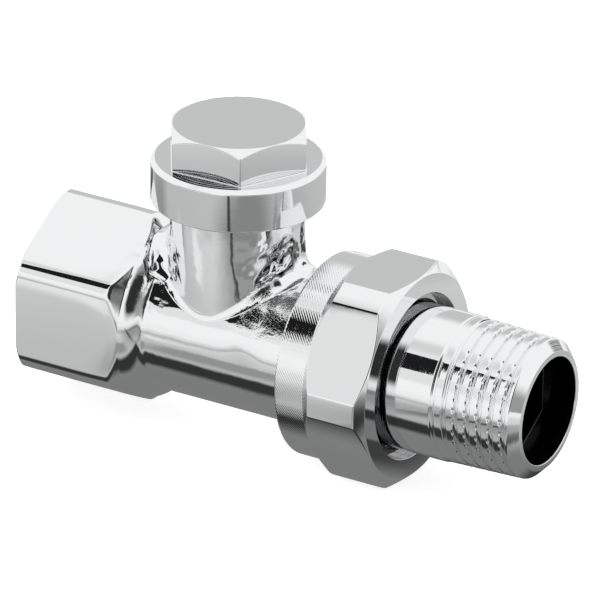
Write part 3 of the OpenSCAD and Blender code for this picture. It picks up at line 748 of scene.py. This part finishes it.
def tailpiece():
    theta = np.radians(np.arange(0, 360, 0.96))
    teeth, groove_depth, dent_depth = 38, 0.58, 0.27
    begin, end, groove_x = 65.0, 77.3, 64.65

    def crest(place, phase):
        u = ((phase - groove_x) / PITCH + 0.5) % 1 * PITCH - PITCH / 2
        full = np.clip((place - begin) / 3.6, 0.25, 1) * np.clip((end - place) / 0.4, 0, 1)
        full = full * np.clip((place - begin) / 0.3, 0, 1)
        wall = np.clip((0.38 - np.abs(u)) / 0.27, 0, 1)
        groove = groove_depth * full * wall * wall * (3 - 2 * wall)
        tooth = np.clip(np.cos(theta * teeth) * 1.7 - 0.5, 0, 1) + 0 * u
        tooth = tooth * (0.8 + 0.3 * np.sin(place * 7 + 11 * np.cos(theta)))
        dent = dent_depth * tooth * np.exp(-(((u + 0.3) / 0.17) ** 2))
        dent = dent * np.clip((full - 0.6) / 0.3, 0, 1)
        taper = TAIL_PIPE_R - (place - TAIL_THREAD) / 32
        blend = np.clip((place - 65.2) / 0.4, 0, 1)
        r = TAIL_R + (taper - TAIL_R) * blend - np.maximum(groove, dent)
        return np.minimum(r, TAIL_END_R + (TAIL_END - place) * 1.07)

    thread = helix(theta, TAIL_PLAIN_END, TAIL_END, 0.09, PITCH, crest)
    one = 0 * theta
    front = profile([
        (TAIL_WAY_R + one, TAIL_BACK, 0),
        (8.9, TAIL_BACK, 0.1),
        (11.0, TAIL_FLANGE_BACK - 0.05, 0.1),
        (11.0, TAIL_FLANGE_BACK, 0),
        (TAIL_FLANGE_R, TAIL_FLANGE_BACK, 0.1),
        (TAIL_FLANGE_R, TAIL_FLANGE_FRONT, 0.15),
        (TAIL_R, TAIL_FLANGE_FRONT, 0.15),
        (TAIL_R, TAIL_PLAIN_END, 0)], step=2.0)
    back = profile([
        (TAIL_END_R + one, TAIL_END, 0),
        (TAIL_MOUTH_R, TAIL_END, 0.12),
        (TAIL_MOUTH_R, TAIL_END - TAIL_MOUTH, 0)], step=2.0)
    bore = hex_angles(KEY_AF, KEY_EDGE, math.pi / 2, 8, 4)
    key = hex_radius(bore, KEY_AF, KEY_EDGE, math.pi / 2)
    inner = profile([
        (TAIL_MOUTH_R + 0 * key, TAIL_END - TAIL_MOUTH, 0),
        (key, TAIL_END - TAIL_MOUTH, 0.12),
        (key, 64.5, 0.1),
        (TAIL_WAY_R, 64.3, 0.1),
        (TAIL_WAY_R, TAIL_BACK, 0)], step=2.0)
    tail = build("tailpiece_turned", [
        skin(about_x(np.concatenate([front[:-1], thread, back[1:]]), theta)),
        skin(about_x(inner, bore))])
    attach(tail, "tail")
    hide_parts("tailpiece")
    # The tailpiece's key bore gets the painted shade
    finish(tail, (chrome_turned, None),
           (chrome_bore_painted_shade, lambda x, y, z: (np.hypot(y, z) < TAIL_MOUTH_R + 0.01)
            & (x < TAIL_END - 0.1)))


union_nut()
screw_cap()
body()
tailpiece()


# The nodes that stay as the CAD made them
looks = {"bonnet": brass, "shut_off_spindle": brass, "preset_screw": brass, "cap_gasket": fibre}
for name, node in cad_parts.items():
    if not node.hide_render:
        node.data.materials.clear()
        node.data.materials.append(looks.get(name, rubber))


# Floor and light: soft cards above, and the floor's light and dark places as the metal mirrors them,
# painted into the floor's glow as painted light and painted shade.
# A card is its centre, half the width and height, the tilt, the share of the size over which its
# edge fades, and its brightness. The sky's are azimuth from +X towards +Y and elevation, in degrees.
SKY = [
    ("back_grey", 119, 14, 13, 22, 0, 0.4, 0.6),
    ("camera_opening", -48, 31, 27, 26, 0, 0.25, 0.03),
    ("right_grey", -10, 6, 24, 14, 0, 0.5, 0.35),
    ("lamp_edge", -121, 24, 12, 7, 0, 0.4, 0.85),
    ("left_shade", -152, 60, 16, 8, 0, 0.9, 0.72),
    ("right_flag", 76, 5, 15, 3.5, -46, 0.3, 0.05),
]
# The floor's places are x and y, in mm
FLOOR_X, VALVE_MIDDLE, VALVE_HALF = 30, 38.7, 39.7
# These cards are painted light and painted shade in the floor's mirrored glow; the dark card below the
# tailpiece is a painted shadow of it.
FLOOR = [
    ("front_grey", 82, -64, 46, 34, 0, 0.45, 0.34),
    ("front_middle", 17, -36, 13, 8, 0, 0.4, 0.32),
    ("left_grey", -52, -4, 22, 24, 0, 0.5, 0.42),
    ("back_dark", 40, 68, 14, 9, 0, 0.3, 0.06),
    ("left_dark", -50, 42, 12, 7, 0, 0.3, 0.05),
    ("front_gap", 38, -20, 75, 4.4, 0, 0.4, 0.035),
    ("tail_painted_shadow", 70, 5, 13, 6.5, 0, 0.5, 0.05),
    ("front_line", 58, -80, 2.9, 44, 13, 0.6, 0.08),
    ("front_band", -20, -58, 17, 6, 0, 0.5, 0.88),
]


def add_cards(g, value, place, cards, around=False):
    """Lay cards over a brightness, each a soft rounded rectangle."""
    first, second, _ = g.split(place)
    for _, x, y, wide, high, tilt, soft, bright in cards:
        across = g.math("SUBTRACT", first, x)
        if around:
            across = g.math("SUBTRACT", g.math("FLOORED_MODULO", g.math("ADD", across, 540), 360), 180)
        offset = g.node("ShaderNodeCombineXYZ", {0: across, 1: g.math("SUBTRACT", second, y)})
        angle = math.radians(-tilt)
        rotated = g.node("ShaderNodeVectorRotate", {"Vector": offset.outputs[0], "Angle": angle},
                         rotation_type="Z_AXIS").outputs[0]
        scaled = g.vector("MULTIPLY", rotated, (1 / wide, 1 / high, 0)).outputs[0]
        square = g.vector("MULTIPLY", scaled, scaled).outputs[0]
        fourth = g.vector("DOT_PRODUCT", square, square).outputs["Value"]
        mask = g.ramp(g.math("POWER", fourth, 0.25), 1 + soft, 1 - soft)
        value = g.math("ADD", g.math("MULTIPLY", value, g.math("SUBTRACT", 1, mask)),
                       g.math("MULTIPLY", mask, bright))
    return value


def studio_world():
    world = bpy.data.worlds.new("studio")
    bpy.context.scene.world = world
    world.use_nodes = True
    g = Graph(world.node_tree)
    back = world.node_tree.nodes["Background"]
    direction = g.node("ShaderNodeTexCoord").outputs["Generated"]
    x, y, z = g.split(direction)
    degrees = 180 / math.pi
    azimuth = g.math("MULTIPLY", g.math("ARCTAN2", y, x), degrees)
    elevation = g.math("MULTIPLY", g.math("ARCSINE", z), degrees)
    place = g.node("ShaderNodeCombineXYZ", {0: azimuth, 1: elevation}).outputs[0]
    value = add_cards(g, g.ramp(elevation, -12, 4, 0.75, 1.0), place, SKY, True)
    path = g.node("ShaderNodeLightPath")
    value = g.math("MAXIMUM", value, path.outputs["Is Camera Ray"])
    g.link(value, back.inputs["Color"])


def stage():
    """The floor, just under the valve. What the camera sees and what the metal mirrors differ: the metal
    mirrors a glow painted on the floor, darker near the valve as a painted shadow of it.
    """
    bpy.ops.mesh.primitive_plane_add(size=4, location=(FLOOR_X * MM, 0, -15.1 * MM))
    floor = bpy.context.object
    floor.name = "floor"
    mat, shader, g = new_material("floor", (0.9, 0.9, 0.9), 0.9, 0)
    path = g.node("ShaderNodeLightPath")
    glow = g.math("MULTIPLY", path.outputs["Is Camera Ray"], 0.75)
    g.link(glow, shader.inputs["Emission Strength"])
    shader.inputs["Emission Color"].default_value = (1, 1, 1, 1)
    flat = g.vector("MULTIPLY", g.place(), (1 / MM, 1 / MM, 0)).outputs[0]
    place = g.vector("ADD", flat, (FLOOR_X, 0, 0)).outputs[0]
    x, y, _ = g.split(place)
    # How far past the valve's ends, and from there how far off its axis
    past = g.math("SUBTRACT", g.math("ABSOLUTE", g.math("SUBTRACT", x, VALVE_MIDDLE)), VALVE_HALF)
    past = g.math("MAXIMUM", past, 0)
    near = g.math("SQRT", g.math("ADD", g.math("MULTIPLY", past, past), g.math("MULTIPLY", y, y)))
    # Painted shadow of the valve: the glow that the metal mirrors is darker near the valve and brighter
    # far from it
    value = g.ramp(near, 12, 30, 0.22, 0.56)
    value = g.math("ADD", value, g.ramp(near, 30, 75, 0, 0.15))
    value = g.math("ADD", value, g.ramp(near, 60, 250, 0, 0.25))
    from_neck = g.vector("DISTANCE", place, (NECK_X, 0, 0)).outputs["Value"]
    # A painted greyer ring in the floor's mirrored glow, which the cap's skirt mirrors
    shade = g.math("MULTIPLY", g.ramp(from_neck, 79, 88, 0, 0.24), g.ramp(from_neck, 104, 128, 1, 0))
    value = g.math("MULTIPLY", add_cards(g, value, place, FLOOR), g.math("SUBTRACT", 1, shade))
    painted_floor_glow = g.node("ShaderNodeEmission", {"Color": value}).outputs[0]
    mix = g.node("ShaderNodeMixShader", {
        0: path.outputs["Is Glossy Ray"], 1: shader.outputs[0], 2: painted_floor_glow})
    g.link(mix.outputs[0], mat.node_tree.nodes["Material Output"].inputs["Surface"])
    floor.data.materials.append(mat)


def black_flag():
    """A black card up to the front left, which fades at its lower edge. Only mirrored light meets it."""
    azimuth, elevation = math.radians(-124), math.radians(39)
    middle, away = Vector((61, -9.2, 5.2)), 120
    lean, fade_start, fade_end = 0.41, -19.6, -17.4
    ahead = Vector((math.cos(azimuth) * math.cos(elevation), math.sin(azimuth) * math.cos(elevation),
                    math.sin(elevation)))
    right = Vector((-math.sin(azimuth), math.cos(azimuth), 0))
    up = ahead.cross(right)
    corners = np.array([(-64, -52, 0), (9, -21, 0), (9, 37, 0), (-64, 13, 0)], float) * MM
    mesh = bpy.data.meshes.new("flag")
    mesh.from_pydata(corners.tolist(), [], [(0, 1, 2, 3)])
    flag = bpy.data.objects.new("flag", mesh)
    bpy.context.scene.collection.objects.link(flag)
    turn = Matrix((right, up, ahead)).transposed().to_4x4()
    flag.matrix_world = Matrix.Translation(middle * MM + away * MM * ahead) @ turn
    mat, shader, g = new_material("flag", (0, 0, 0), 1, 0)
    x, y, _ = g.split(g.place())
    edge = g.math("SUBTRACT", y, g.math("MULTIPLY", x, lean))
    clear = g.node("ShaderNodeBsdfTransparent").outputs[0]
    black = g.node("ShaderNodeEmission", {"Color": (0.012, 0.012, 0.013, 1)}).outputs[0]
    cover = g.ramp(edge, fade_start * MM, fade_end * MM)
    mix = g.node("ShaderNodeMixShader", {0: cover, 1: clear, 2: black})
    g.link(mix.outputs[0], mat.node_tree.nodes["Material Output"].inputs["Surface"])
    mesh.materials.append(mat)
    flag.visible_camera = False
    flag.visible_diffuse = False
    flag.visible_shadow = False
    flag.visible_transmission = False


studio_world()
stage()
black_flag()
bpy.context.scene.view_settings.view_transform = "Standard"
